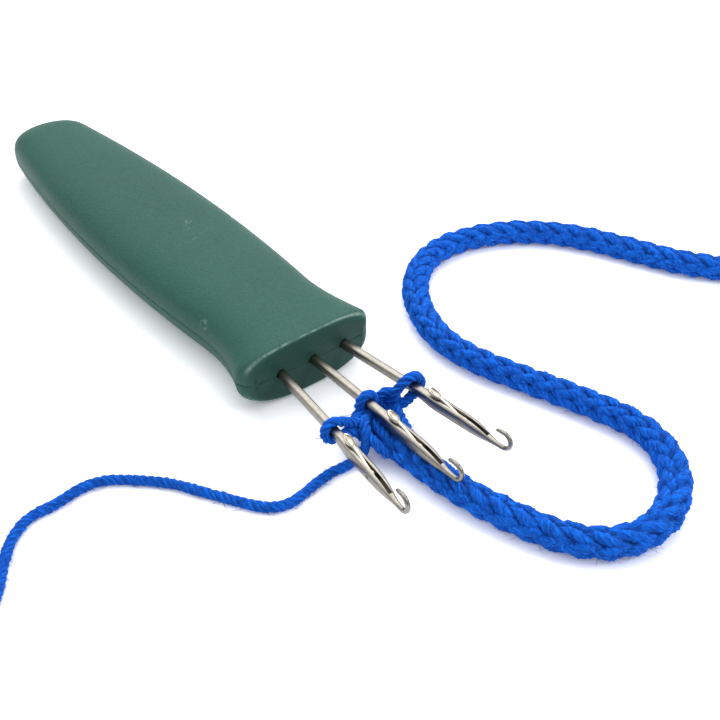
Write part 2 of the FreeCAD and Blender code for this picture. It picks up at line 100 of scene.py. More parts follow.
class YarnSettings(bpy.types.PropertyGroup):
    colour: colour_choice("Yarn colour", "Colour of the yarn in the light", "#0065EE")
    diameter: bpy.props.FloatProperty(
        name="Yarn diameter", description="Thickness of the loose strand",
        default=2.1 * MM, min=1 * MM, max=4 * MM, unit="LENGTH")
    row_pitch: bpy.props.FloatProperty(
        name="Row pitch", description="Length of the cord that one knitted row makes",
        default=5.2 * MM, min=2 * MM, max=8 * MM, unit="LENGTH")


class StageSettings(bpy.types.PropertyGroup):
    floor_colour: colour_choice("Floor colour", "Colour of the pale floor", "#FCFCFE")
    key_power: bpy.props.FloatProperty(
        name="Key light", description="Power of the large soft light behind the object",
        default=3.0, min=0, unit="POWER")


# -------- small helpers
def fill(node, inputs):
    """Link or set a shader node's inputs, by name or in order. A node stands for the first
    output that its settings leave on."""
    for name, value in inputs.items() if isinstance(inputs, dict) else enumerate(inputs):
        socket = node.inputs[name]
        if isinstance(value, bpy.types.Node):
            value = next(output for output in value.outputs if output.enabled)
        if isinstance(value, bpy.types.NodeSocket):
            node.id_data.links.new(value, socket)
        elif socket.type == "RGBA":
            socket.default_value = (*value[:3], 1)
        else:
            socket.default_value = value


def add_node(tree, kind, inputs=(), **settings):
    """Add a shader node with its settings and links."""
    node = tree.nodes.new("ShaderNode" + kind)
    for name, value in settings.items():
        setattr(node, name, value)
    fill(node, inputs)
    return node


def new_material(name):
    """A material with a bare Principled shader, that shader, and add_node for its tree."""
    material = bpy.data.materials.new(name)
    material.use_nodes = True
    material.node_tree.nodes.clear()
    add = partial(add_node, material.node_tree)
    shader = add("BsdfPrincipled")
    add("OutputMaterial", {"Surface": shader}, is_active_output=True)
    return material, shader, add


def scaled(colour, factor):
    return tuple(min(1, c * factor) for c in colour[:3])


def settle(piece, body, slot, material, *nodes):
    """Give a finished piece its finish, its body and the CAD nodes that it stands for."""
    piece.data.materials.clear()
    piece.data.materials.append(material)
    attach(piece, body)
    if nodes:
        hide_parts(*nodes)


def pick(*pieces):
    """Select these pieces and no others, and make the first one active."""
    bpy.ops.object.select_all(action="DESELECT")
    for piece in pieces:
        piece.select_set(True)
    if pieces:
        bpy.context.view_layer.objects.active = pieces[0]


def new_piece(name, mesh):
    piece = bpy.data.objects.new(name, mesh)
    bpy.context.scene.collection.objects.link(piece)
    return piece


def start_edit(name):
    """Name the new primitive and enter edit mode, where all of it is selected."""
    piece = bpy.context.object
    piece.name = name
    piece.data.name = name
    bpy.ops.object.mode_set(mode="EDIT")
    return piece


def apply_place():
    bpy.ops.object.transform_apply(location=True, rotation=True, scale=True)
    return bpy.context.object


def cut_away(piece, *cutters):
    """Subtract the cutters from piece, throw them away, and clear up slivers along the cuts."""
    for cutter in cutters:
        pick(piece)
        modifier = piece.modifiers.new("cut", "BOOLEAN")
        modifier.object = cutter
        modifier.operation = "DIFFERENCE"
        modifier.solver = "EXACT"
        bpy.ops.object.modifier_apply(modifier=modifier.name)
        bpy.data.objects.remove(cutter)
    bpy.ops.object.mode_set(mode="EDIT")
    bpy.ops.mesh.select_all(action="SELECT")
    bpy.ops.mesh.remove_doubles(threshold=MERGE_DISTANCE)
    bpy.ops.mesh.dissolve_degenerate(threshold=MERGE_DISTANCE)
    bpy.ops.object.mode_set(mode="OBJECT")


def smooth(piece, angle):
    pick(piece)
    bpy.ops.object.shade_smooth_by_angle(angle=radians(angle))


def copy_piece(piece, name, matrix):
    """A copy with its own mesh, moved to its place in its vertices."""
    twin = new_piece(name, piece.data.copy())
    twin.data.name = name
    twin.data.transform(matrix)
    return twin


def needle_matrix(side):
    """From metres along a needle to its place in the model."""
    turn = Matrix.Rotation(SIDES[side] * FAN_ANGLE, 4, "Z")
    return Matrix.Translation((FACE_X * MM, SIDES[side] * NEEDLE_PITCH * MM, AXIS_Z * MM)) @ turn


# -------- materials
# pale rubbed spots on the grip, and how far each reaches
RUBBED_SPOTS = (((-10.1, 0.6, 16.0), 2.2), ((-11.8, 3.2, 16.0), 1.2), ((-4.9, 3.8, 16.0), 1.6),
                ((-2.6, 0.0, 16.1), 1.3), ((24.7, -15.4, 12.0), 1.8))
SPOT_CORE = 0.2
# the columns of the grid that each shell of the grip is wrapped in, from the front to the tail
FACE_COLUMNS, RIM_COLUMNS, GRIP_COLUMNS, TAIL_COLUMNS = 6, 8, 64, 22
COLUMNS = FACE_COLUMNS + RIM_COLUMNS + GRIP_COLUMNS + TAIL_COLUMNS
RIM_AT = (FACE_COLUMNS + RIM_COLUMNS * 0.55) / (COLUMNS - 1)      # along the grip's UV map


def moulded_satin_plastic(colour):
    """Spark-textured injection moulded plastic: an even colour, soft wide highlights, a fine grain
    that only shows where light grazes it, a few pale rubbed spots, a painted highlight along the
    top edge of the front rim and painted shade on the front face."""
    material, shader, add = new_material("moulded_satin_plastic")
    place = add("TexCoord").outputs["Object"]
    cloud = add("TexNoise", {"Vector": place, "Scale": 28, "Detail": 3})
    patches = add("MapRange", (cloud, 0.35, 0.7))
    tone = add("Mix", {0: patches, 6: scaled(colour, 0.9), 7: scaled(colour, 1.1)},
               data_type="RGBA")
    # grain of about 0.6 mm, coarser than the real texture so that it shows
    grain = add("TexNoise", {"Vector": place, "Scale": 1700, "Detail": 2})
    layers = [(add("MapRange", (grain, 0.3, 0.8)), scaled(colour, 1.35))]
    streaks = add("TexNoise", {"Vector": place, "Scale": 520, "Detail": 2, "Roughness": 0.7})
    ragged = add("MapRange", (streaks, 0.5, 0.62))
    for spot, reach in RUBBED_SPOTS:
        away = add("VectorMath", (place, Vector(spot) * MM), operation="DISTANCE")
        near = add("MapRange", (away, reach * MM, SPOT_CORE * MM))
        both = add("Math", (near, ragged), operation="MULTIPLY")
        layers.append((add("Math", (both, 0.5), operation="MULTIPLY"), linear("#93AD9F")))
    # painted highlight: the rim of the front face is painted pale along its top edge
    along, across = add("SeparateXYZ", [add("UVMap", uv_map="UVMap")]).outputs[:2]
    edge = add("MapRange", (streaks, 0.35, 0.65, 0.08, 0.42))
    for where, middle, far, close in ((along, RIM_AT, 0.016, 0.004), (across, 0.5, 0.42, 0.30)):
        off = add("Math", (where, middle), operation="SUBTRACT")
        near = add("MapRange", (add("Math", [off], operation="ABSOLUTE"), far, close))
        edge = add("Math", (near, edge), operation="MULTIPLY")
    # painted shade: the front face is painted darker than the rest of the grip
    front = add("MapRange", (along, RIM_AT, FACE_COLUMNS / COLUMNS))
    layers += [(edge, linear("#A9BDB2")), (front, scaled(colour, 0.72))]
    for share, paint in layers:
        tone = add("Mix", {0: share, 6: tone, 7: paint}, data_type="RGBA")
    waves = add("TexNoise", {"Vector": place, "Scale": 170, "Detail": 1})
    fine = add("Bump", {"Height": grain, "Strength": 1.0, "Distance": 0.00011})
    relief = {"Height": waves, "Strength": 0.15, "Distance": 0.0003, "Normal": fine}
    fill(shader, {"Base Color": tone, "IOR": 1.49, "Specular IOR Level": 0.14,
                  "Roughness": add("MapRange", (waves, 0, 1, 0.44, 0.54)),
                  "Normal": add("Bump", relief)})
    return material


def nickel_plated_steel(name, colour, roughness):
    """Drawn steel wire under nickel: warm grey, fine lines along the wire, sharp glints where the
    metal was pressed flat, and faint tarnish."""
    material, shader, add = new_material(name)
    place = add("TexCoord").outputs["Object"]
    along = add("Mapping", {"Vector": place, "Scale": (0.03, 1, 1)})
    lines = add("TexNoise", {"Vector": along, "Scale": 6000, "Detail": 3})
    stain = add("TexNoise", {"Vector": place, "Scale": 800, "Detail": 4, "Roughness": 0.65})
    dull = add("MapRange", (stain, 0.4, 0.68))
    tone = add("Mix", {0: dull, 6: scaled(colour, 1.03), 7: scaled(colour, 0.86)},
               data_type="RGBA")
    relief = {"Height": lines, "Strength": 0.35, "Distance": 0.00004}
    fill(shader, {"Base Color": tone, "Metallic": 1.0, "Normal": add("Bump", relief),
                  "Roughness": add("MapRange", (stain, 0, 1, roughness, roughness + 0.16))})
    return material


def soft_plied_yarn(colour):
    """Soft acrylic yarn: fine fibres that follow the twist, a bright velvety rim of stray fibre and
    painted shade in the grooves and inside the knitted cord."""
    material, shader, add = new_material("soft_plied_yarn")
    wrap = add("UVMap", uv_map="strand")
    place = add("TexCoord").outputs["Object"]
    # fibres lie along the strand in bundles 0.4 mm wide, coarser than real ones so that they show
    lean = add("Mapping", {"Vector": wrap, "Rotation": (0, 0, 0.25), "Scale": (12, 4.5, 1)})
    fibre = add("TexNoise", {"Vector": lean, "Scale": 1, "Detail": 4, "Roughness": 0.7,
                             "Distortion": 0.9})
    bundles = add("MapRange", (fibre, 0.4, 0.6))
    shade = add("Mix", {0: bundles, 6: scaled(colour, 0.45), 7: scaled(colour, 1.5)},
                data_type="RGBA")
    broad = add("TexNoise", {"Vector": place, "Scale": 160, "Detail": 1})
    dim = add("MapRange", (broad, 0.5, 1.1))
    tone = add("Mix", {0: dim, 6: shade, 7: scaled(colour, 0.8)}, data_type="RGBA")
    # painted shade: where the "open" attribute is low, in the grooves and deep in the knitting, the
    # colour is darkened
    lit = add("MapRange", (add("Attribute", attribute_name="open").outputs["Fac"], 0.05, 0.7))
    deep = add("Mix", {0: lit, 6: scaled(colour, 0.26), 7: tone}, data_type="RGBA")
    tufts = add("TexNoise", {"Vector": place, "Scale": 900, "Detail": 2})
    twist = add("Bump", {"Height": fibre, "Strength": 1.0, "Distance": 0.0006})
    relief = {"Height": tufts, "Strength": 0.25, "Distance": 0.0001, "Normal": twist}
    fill(shader, {"Base Color": deep, "Roughness": 0.88, "Specular IOR Level": 0.25,
                  "Sheen Weight": 0.35, "Sheen Roughness": 0.4, "Sheen Tint": linear("#3C8CFF"),
                  "Normal": add("Bump", relief)})
    return material


def settle_yarn(piece, *nodes):
    """Finish a piece of yarn. All of them share one material, which the first one makes."""
    colour = bpy.context.scene.icord_yarn.colour
    material = bpy.data.materials.get("soft_plied_yarn") or soft_plied_yarn(colour)
    settle(piece, "handle", "blue_yarn", material, *nodes)


# -------- yarn and knitting
def cord_line(route, step):
    """Evenly spaced points, in metres, on one smooth line that follows a route in millimetres."""
    curve = bpy.data.curves.new("route", "CURVE")
    curve.dimensions = "3D"
    curve.resolution_u = 16
    spline = curve.splines.new("NURBS")
    spline.points.add(len(route) - 1)
    for point, place in zip(spline.points, route):
        point.co = (*(Vector(place) * MM), 1)
    spline.order_u = 3
    spline.use_endpoint_u = True
    holder = bpy.data.objects.new("route", curve)
    sampled = bpy.data.meshes.new_from_object(holder)
    line = np.array([v.co[:] for v in sampled.vertices])
    bpy.data.objects.remove(holder)
    bpy.data.curves.remove(curve)
    bpy.data.meshes.remove(sampled)
    return evenly(line, step)


def run_lengths(line):
    """How far along the line each of its points is."""
    return np.concatenate([[0], np.cumsum(np.linalg.norm(np.diff(line, axis=0), axis=1))])


def evenly(line, step):
    along = run_lengths(line)
    count = max(4, int(round(along[-1] / step)) + 1)
    stops = np.linspace(0, along[-1], count)
    return np.stack([np.interp(stops, along, line[:, axis]) for axis in range(3)], axis=1)


def directions(line):
    ahead = np.gradient(line, axis=0)
    return ahead / np.linalg.norm(ahead, axis=1)[:, None]


def carried_normals(ahead):
    """One normal for each point, carried along so that it never spins."""
    normal = np.cross(ahead[0], (0.3, 0.2, 1.0))
    normals = []
    for direction in ahead:
        normal = normal - direction * normal.dot(direction)
        normal /= np.linalg.norm(normal)
        normals.append(normal)
    return np.array(normals)


FLOOR_GAP = 0.03 * MM
PLY_FLATNESS = 0.7
UNEVENNESS, DRIFT_STEP = 0.035, 6    # slow changes in thickness, one for this many points
END_POINTS, END_WIDTH = 3, 0.35      # a strand narrows to this share over its last points
HOLLOW, DEPTH = 2.0 * MM, 1.1 * MM   # the cord is dark in to this radius, and lit this far out


def yarn_mesh(name, line, radius, plies=4, lay=6.5 * MM, sides=12, groove=0.28, seed=0,
              depth=None, lumps=0.03, plump=1):
    """A closed tube along line whose section has a lobe for each ply and turns with the lay.
    Its UV map runs round the strand and, in strand widths, along it; its "open" attribute is low
    in the grooves, and deep in the knitting where depth gives the middle line of the cord."""
    along = run_lengths(line)
    ahead = directions(line)
    normal = carried_normals(ahead)
    side = np.cross(ahead, normal)
    around = np.arange(sides) * 2 * pi / sides
    turn = 2 * pi * along[:, None] / lay
    section = 1 - groove * (1 - np.abs(np.cos(plies * around / 2)) ** PLY_FLATNESS)
    random = np.random.default_rng(seed)
    drift = random.normal(0, 1, len(line) // DRIFT_STEP + 3)
    order = np.arange(len(line))
    thick = np.interp(order / DRIFT_STEP, np.arange(len(drift)), drift)
    width = radius * (1 + UNEVENNESS * thick) * plump
    taper = np.minimum(1, np.minimum(order, order[::-1]) / END_POINTS + END_WIDTH)
    reach = (width * taper)[:, None] * section[None, :]
    reach = reach * (1 + random.normal(0, lumps, reach.shape))
    angle = around[None, :] + turn
    points = (line[:, None, :] + normal[:, None, :] * (np.cos(angle) * reach)[..., None]
              + side[:, None, :] * (np.sin(angle) * reach)[..., None])
    points[..., 2] = np.maximum(points[..., 2], FLOOR_GAP)
    first = order[:-1, None] * sides
    here = np.arange(sides)[None, :]
    after = (here + 1) % sides
    quads = np.stack([first + here, first + after, first + sides + after, first + sides + here],
                     axis=-1).reshape(-1, 4)
    # painted shade: "open" is low in the grooves and deep in the knitting, where the material
    # darkens the colour
    lit = np.clip((section - section.min()) / np.ptp(section), 0, 1)
    lit = lit * 0.7 + 0.3 if depth is None else lit * 0.4 + 0.6
    lit = np.broadcast_to(lit, points.shape[:2])
    if depth is not None:
        out = np.linalg.norm(points - depth[:, None, :], axis=2)
        lit = lit * np.clip((out - HOLLOW) / DEPTH, 0.05, 1)
    foot = list(range(sides))
    faces = [*quads.tolist(), foot[::-1], [(len(line) - 1) * sides + k for k in foot]]
    mesh = bpy.data.meshes.new(name)
    mesh.from_pydata(points.reshape(-1, 3).tolist(), [], faces)
    across = np.stack([here, here + 1, here + 1, here], axis=-1) / sides
    down = np.stack([first, first, first + sides, first + sides], axis=-1) // sides
    uv = np.stack(np.broadcast_arrays(across, along[down] / (2 * pi * radius)), axis=-1)
    mesh.attributes.new("open", "FLOAT", "POINT").data.foreach_set("value", lit.reshape(-1))
    flat = np.zeros(len(mesh.loops) * 2)
    flat[:uv.size] = uv.reshape(-1)
    mesh.uv_layers.new(name="strand").data.foreach_set("uv", flat)
    mesh.polygons.foreach_set("use_smooth", [True] * len(mesh.polygons))
    return new_piece(name, mesh)


def joined(name, pieces):
    """Join several strands into one piece."""
    pick(*pieces)
    bpy.ops.object.join()
    piece = bpy.context.object
    piece.name = name
    piece.data.name = name
    return piece


def from_face(places):
    """Places measured from the front face, as places in the model."""
    return [(x + FACE_X, y, z) for x, y, z in places]


# the cord's route on the floor, from the newest rows to the cast-on end
CORD_Z = 3.1
CORD_ROUTE = [(x + FACE_X, y, CORD_Z) for x, y in (
    (21.5, -1.2), (26.0, -1.0), (33.5, 0.0), (42.6, 0.6), (51.6, 1.8), (61.6, 4.6), (71.6, 8.6),
    (79.0, 16.0), (80.2, 27.0), (75.6, 37.2), (67.5, 43.8), (58.0, 45.6), (49.0, 43.2),
    (39.5, 40.2), (30.0, 36.8), (20.0, 33.4), (8.0, 32.2), (-5.5, 37.0), (-15.0, 44.0),
    (-22.0, 55.0), (-22.3, 67.8), (-18.0, 79.0), (-11.2, 88.3), (-2.2, 95.0), (11.0, 100.8),
    (23.8, 106.0), (32.0, 111.8), (40.0, 120.0), (46.0, 130.0), (47.0, 142.0), (42.3, 152.5))]
YARN_Z = 1.1
TAIL_ROUTE = [(FACE_X + 40.5, 156.4, 2.0)] + [(x + FACE_X, y, YARN_Z) for x, y in (
    (39.4, 158.9), (36.2, 164.4), (30.5, 168.8), (23.5, 170.3), (16.6, 168.6), (12.6, 166.0))]
KNOT_CENTRE = Vector((FACE_X + 40.93, 155.4, 2.4)) * MM
KNOT_SCALE = 0.8 * MM
YARN_START = from_face((
    (20.6, 0.4, 4.8), (21.9, -2.8, 6.6), (23.8, -4.5, 7.2), (25.4, -5.1, 6.4), (26.4, -5.8, 4.8),
    (26.8, -7.0, 3.1), (26.8, -8.9, 1.5)))
YARN_ROUTE = YARN_START + [(x + FACE_X, y, YARN_Z) for x, y in (
    (26.4, -11.6), (25.8, -15.4), (26.8, -21.4), (28.0, -27.6), (25.2, -32.2), (19.6, -35.6),
    (13.4, -39.4), (7.0, -43.2), (2.2, -48.0), (-2.4, -53.2), (-3.6, -58.6), (-2.3, -64.6),
    (-2.8, -70.2), (0.0, -75.0), (4.4, -78.7), (9.0, -81.4), (13.5, -84.6), (17.3, -88.8),
    (19.6, -94.0), (20.0, -99.5))]
COIL_CENTRE = (FACE_X + 2.94, -99.5)
COIL_LAYERS, COIL_TURNS = 4, 3       # turns in each layer
COIL_INNER = 10.4
COIL_STEP, LAYER_STEP = 2.15, 1.86   # from turn to turn and from layer to layer
COIL_WANDER, COIL_RIPPLE = 0.25, 0.15
TURN_POINTS = 14
RUN_UP, RUN_UP_WIDTH = 9, 2.0        # points over which the strand runs up to the coil


def coil_points():
    """The wound turns: each layer spirals in or out, and lies on the one below."""
    points = []
    for i in range(1, COIL_LAYERS * COIL_TURNS * TURN_POINTS):
        turn = i / TURN_POINTS
        layer, inside = divmod(turn, COIL_TURNS)
        share = inside / COIL_TURNS * (COIL_TURNS - 1)
        if layer % 2 == 0:
            share = COIL_TURNS - 1 - share
        radius = COIL_INNER + COIL_STEP * share + COIL_WANDER * sin(2.3 * turn)
        radius += RUN_UP_WIDTH * max(0, 1 - i / RUN_UP)
        angle = -2 * pi * turn
        height = YARN_Z + LAYER_STEP * layer + COIL_RIPPLE * sin(1.7 * turn)
        points.append((COIL_CENTRE[0] + radius * cos(angle),
                       COIL_CENTRE[1] + radius * sin(angle), height))
    return points


# radii of the strands: in diameters, with room for their grooves, where those can be chosen
STRAND, LOOSE_STRAND = 0.55, 0.58
KNIT_STRAND, KNOT_STRAND = 1.14 * MM, 1.15 * MM
STITCH_RISE = 0.78       # half of a stitch's height, in rows
LEG_SPREAD, LEG_SWELL = 1.6, 0.2
KNIT_RADIUS, KNIT_WAVE = 1.90, 0.46  # of the yarn's middle line, and how far it goes in and out
FIRST_ANGLE = 0.35
FAN_LENGTH, FAN = 8 * MM, 0.35       # the newest rows are wider
FLATNESS = 0.88                      # the cord's height over its width
FLAT_END, FLAT_FADE, FLAT = 28 * MM, 9 * MM, 0.10    # it is flatter near the needles
GATHER_LENGTH, GATHER = 8 * MM, 0.6  # the cast-on end is drawn together


def knitted_line(line, pitch, wales=3, samples=30):
    """One yarn knitted round and round into a tube along line: each stitch rises in two legs that
    open like a V and swell, and its head passes behind the legs of the next row."""
    along = run_lengths(line)
    ahead = directions(line)
    up = np.array([0, 0, 1.0])
    side = np.cross(up, ahead)
    height = STITCH_RISE * pitch
    rows = (along[-1] - 2 * height) / pitch
    phase = np.linspace(0, 2 * pi * wales * rows, int(wales * rows * samples))
    place = height + pitch * phase / (2 * pi * wales) - height * np.cos(phase)
    angle = (phase + LEG_SPREAD * np.sin(2 * phase)) / wales + FIRST_ANGLE
    plump = 1 - LEG_SWELL * np.cos(2 * phase)
    radius = (KNIT_RADIUS - KNIT_WAVE * np.cos(2 * phase)) * MM
    centre = np.stack([np.interp(place, along, line[:, k]) for k in range(3)], axis=1)
    across = np.stack([np.interp(place, along, side[:, k]) for k in range(3)], axis=1)
    fan = 1 + FAN * np.clip(1 - place / FAN_LENGTH, 0, 1)
    flat = FLATNESS - FLAT * np.clip(1 - (place - FLAT_END) / FLAT_FADE, 0, 1)
    radius = radius * (1 - GATHER * np.clip(1 - (along[-1] - place) / GATHER_LENGTH, 0, 1) ** 2)
    stitches = (centre + across * (radius * fan * np.cos(angle))[:, None]
                + up * (radius * flat * np.sin(angle))[:, None])
    return stitches, centre, plump


class MakeCord(bpy.types.Operator):
    """Knit the cord, its drawn-up cast-on end and the short yarn tail"""
    bl_idname = "icord_maker.cord"
    bl_label = "Knitted cord"

    def execute(self, context):
        settings = context.scene.icord_yarn
        line = cord_line(CORD_ROUTE, 1 * MM)
        stitches, middle, plump = knitted_line(line, settings.row_pitch)
        cord = yarn_mesh("knitted_cord", stitches, KNIT_STRAND, lay=9 * MM, groove=0.18, seed=1,
                         depth=middle, lumps=0.04, plump=plump)
        settle_yarn(cord, "i_cord")
        # the cast-on end: the yarn drawn tight in an overhand knot
        t = np.linspace(0, 2 * pi, 160)
        knot_line = np.stack([np.sin(t) + 2 * np.sin(2 * t), np.cos(t) - 2 * np.cos(2 * t),
                              -1.15 * np.sin(3 * t)], axis=1) * KNOT_SCALE + np.array(KNOT_CENTRE)
        knot = yarn_mesh("drawn_up_end", knot_line, KNOT_STRAND, seed=2)
        settle_yarn(knot, "cast_on_knot")
        tail_line = cord_line(TAIL_ROUTE, 0.5 * MM)
        tail = yarn_mesh("yarn_tail", tail_line, STRAND * settings.diameter, seed=3)
        settle_yarn(tail, "i_cord_tail")
        return {"FINISHED"}


class MakeYarn(bpy.types.Operator):
    """Lay the working yarn, with the rest of it wound into a small coil"""
    bl_idname = "icord_maker.yarn"
    bl_label = "Working yarn"

    def execute(self, context):
        settings = context.scene.icord_yarn
        line = cord_line(YARN_ROUTE + coil_points(), 0.6 * MM)
        yarn = yarn_mesh("loose_yarn", line, LOOSE_STRAND * settings.diameter, sides=14, seed=4)
        settle_yarn(yarn, "working_yarn", "yarn_coil")
        return {"FINISHED"}


LIVE_STEP = 0.35 * MM    # between the points along the live stitches
BRIDGE_RADIUS = 1.12 * MM
LOOP_RADII = {"left": 1.28 * MM, "middle": 1.15 * MM, "right": 1.15 * MM}
# loops on the needles and the strands between them: x from the front face, y and z in the model
LOOPS = {
    "left": [
        (18.9, 5.9, 4.6), (20.2, 6.6, 6.4), (20.6, 7.6, 8.4), (20.9, 8.8, 9.8), (21.1, 10.4, 10.7),
        (21.3, 12.2, 10.6), (21.5, 13.6, 9.1), (21.6, 13.5, 6.9), (21.3, 11.8, 5.5),
        (22.0, 9.6, 5.2), (21.5, 7.5, 4.6), (20.2, 5.2, 4.0)],
    "middle": [
        (20.8, -3.6, 4.2), (19.6, -2.4, 5.4), (19.0, -1.8, 6.9), (19.0, -1.9, 8.5),
        (19.1, -1.3, 9.7), (19.2, 0.0, 10.2), (19.3, 1.4, 9.7), (19.5, 1.9, 8.1), (19.9, 1.3, 6.3),
        (19.4, -0.3, 5.0), (18.8, -1.8, 4.4)],
    "right": [
        (22.4, -1.7, 4.8), (22.4, -4.2, 6.2), (22.0, -6.1, 7.6), (22.1, -9.3, 9.6),
        (21.7, -11.1, 10.5), (21.4, -12.8, 9.9), (21.4, -13.6, 8.1), (21.7, -12.9, 6.3),
        (22.1, -11.2, 5.7), (22.6, -9.5, 6.4), (22.8, -7.3, 6.0), (23.2, -5.1, 5.0),
        (24.1, -3.1, 4.2)],
}
BRIDGES = [
    [(20.7, -1.4, 3.4), (23.5, -1.7, 3.2), (26.2, -2.0, 3.0), (28.9, -1.9, 2.8)],
    [(20.6, -7.7, 5.2), (21.7, -6.4, 5.8), (22.5, -4.3, 5.2), (23.6, -2.6, 4.4)],
    [(17.2, 3.0, 4.6), (18.3, 3.8, 6.8), (18.9, 5.5, 8.2), (19.9, 7.0, 7.8), (20.6, 7.6, 5.9),
     (20.6, 6.4, 4.2), (19.2, 4.9, 3.8), (18.0, 4.3, 5.6), (18.4, 5.9, 7.0), (19.8, 6.0, 6.6)],
    [(19.8, -4.8, 3.8), (19.1, -3.1, 6.2), (20.0, -1.4, 6.3), (21.8, 0.2, 5.6), (23.6, 1.2, 4.8),
     (25.8, 1.2, 4.0)],
    [(17.1, 3.1, 4.8), (19.0, 0.6, 5.6), (20.4, -3.4, 6.6), (20.9, -5.2, 5.4), (22.4, -5.4, 4.2),
     (24.2, -4.4, 3.2)],
    [(19.6, 7.6, 3.8), (22.9, 6.0, 4.8), (25.7, 5.0, 4.4), (28.5, 4.2, 3.8), (31.6, 2.8, 3.2)],
    [(20.2, -0.8, 4.6), (23.4, -1.4, 5.4), (26.3, -1.8, 5.5), (29.0, -2.0, 5.0), (31.5, -2.2, 4.0)],
    [(20.0, -3.6, 3.8), (23.9, -4.5, 5.2), (27.1, -4.9, 5.6), (29.6, -4.6, 4.6), (32.0, -4.0, 3.4)],
    [(18.6, 1.6, 4.2), (21.6, 3.4, 4.6), (24.6, 3.4, 5.0), (27.6, 2.4, 4.4), (30.2, 1.2, 3.4)],
]


FIBRE_RADIUS = 0.042 * MM
FIBRE_LENGTHS = 0.6 * MM, 2.2 * MM   # shortest and longest
FIBRE_RISES = 0.25, 0.7              # flattest and steepest
FIBRE_TURNS = (0, 2.1, 4.2)          # where its three sides meet
FIBRE_RINGS = 5
RING = len(FIBRE_TURNS)
STITCH_FIBRES, CORD_FIBRES, YARN_FIBRES = 50, 4500, 700
CORD_FLANK = 3.0 * MM                # from the cord's middle to where its fibres start


def fuzz_mesh(name, lines, radii, counts, seed):
    """Fine stray fibres that stand off the strands in loose arcs, three sides each."""
    random = np.random.default_rng(seed)
    points, faces = [], []
    stops = np.linspace(0, 1, FIBRE_RINGS)[:, None]
    for line, radius, count in zip(lines, radii, counts):
        ahead = directions(line)
        for at in random.integers(0, len(line), count):
            out = np.cross(ahead[at], random.normal(0, 1, 3))
            out /= np.linalg.norm(out)
            run = ahead[at] * random.choice((-1, 1)) + random.normal(0, 0.5, 3)
            length = random.uniform(*FIBRE_LENGTHS)
            root = line[at] + out * radius * 0.92
            rise = random.uniform(*FIBRE_RISES)
            middle = root + length * (run * stops + out * rise * stops * (1.6 - stops))
            middle[:, 2] = np.maximum(middle[:, 2], 2 * FLOOR_GAP)
            way = directions(middle)
            first = out - way * (way @ out)[:, None]
            first /= np.linalg.norm(first, axis=1)[:, None]
            second = np.cross(way, first)
            wide = FIBRE_RADIUS * (1.15 - stops)
            start = len(points) * RING * FIBRE_RINGS
            points.append(np.stack([middle + wide * (cos(a) * first + sin(a) * second)
                                    for a in FIBRE_TURNS], axis=1).reshape(-1, 3))
            tip = start + RING * (FIBRE_RINGS - 1)
            for low in range(start, tip, RING):
                faces += [(low + a, low + b, low + RING + b, low + RING + a)
                          for a, b in ((0, 1), (1, 2), (2, 0))]
            faces += [(start + 2, start + 1, start), (tip, tip + 1, tip + 2)]
    points = np.concatenate(points)
    mesh = bpy.data.meshes.new(name)
    mesh.from_pydata(points.tolist(), [], faces)
    mesh.uv_layers.new(name="strand")
    mesh.attributes.new("open", "FLOAT", "POINT").data.foreach_set("value", [1.0] * len(points))
    return new_piece(name, mesh)


class MakeStitches(bpy.types.Operator):
    """Put a live stitch on each needle and the newest rows below them"""
    bl_idname = "icord_maker.stitches"
    bl_label = "Stitches"

    def execute(self, context):
        settings = context.scene.icord_yarn
        thick = STRAND * settings.diameter
        live = [cord_line(from_face(points), LIVE_STEP) for points in (*LOOPS.values(), *BRIDGES)]
        for seed, (side, line) in enumerate(zip(LOOPS, live), 10):
            loop = yarn_mesh(f"loop_on_{side}_needle", line, LOOP_RADII[side], sides=16,
                             seed=seed)
            settle_yarn(loop, f"stitch_{side}")
        strands = [yarn_mesh("strand", line, BRIDGE_RADIUS, sides=16, seed=seed)
                   for seed, line in enumerate(live[len(LOOPS):], 20)]
        rows = joined("newest_rows", strands)
        settle_yarn(rows, "knit_head")
        cord = cord_line(CORD_ROUTE, 0.5 * MM)
        yarn = cord_line(YARN_ROUTE, 0.5 * MM)
        fuzz = fuzz_mesh("stray_fibres", [*live, cord, yarn],
                         [thick] * len(live) + [CORD_FLANK, thick],
                         [STITCH_FIBRES] * len(live) + [CORD_FIBRES, YARN_FIBRES], seed=30)
        settle_yarn(fuzz)
        return {"FINISHED"}


# -------- grip
def circles_cross(a, radius_a, b, radius_b):
    """The hindmost point where two circles cross."""
    gap = (b - a).length
    along = (radius_a ** 2 - radius_b ** 2 + gap ** 2) / (2 * gap)
    off = sqrt(radius_a ** 2 - along ** 2)
    unit = (b - a).normalized()
    points = [a + unit * along + Vector((-unit.y, unit.x)) * sign * off for sign in (-1, 1)]
    return min(points, key=lambda p: p.x)


HALF_WIDTH = 18.0
BELLY_RADIUS, FLARE_RADIUS, TAIL_RADIUS, CORNER_RADIUS = 440.0, 48.0, 17.0, 9.0
BELLY_X, FLARE_X = -65.0, -20.0
# centres of the arcs: the long bowed side, the hollow that flares to the front, the blunt end and
# the corner that rounds one into the other
BELLY = Vector((BELLY_X, HALF_WIDTH - BELLY_RADIUS))
FLARE = Vector((FLARE_X, BELLY.y + sqrt((BELLY_RADIUS + FLARE_RADIUS) ** 2
                                             - (FLARE_X - BELLY_X) ** 2)))
TAIL = Vector((-128.0, 0.0))
CORNER = circles_cross(BELLY, BELLY_RADIUS - CORNER_RADIUS, TAIL, TAIL_RADIUS - CORNER_RADIUS)
SPINE_END = -124.0
FAR_OFF = 60.0           # further than any part of the tail


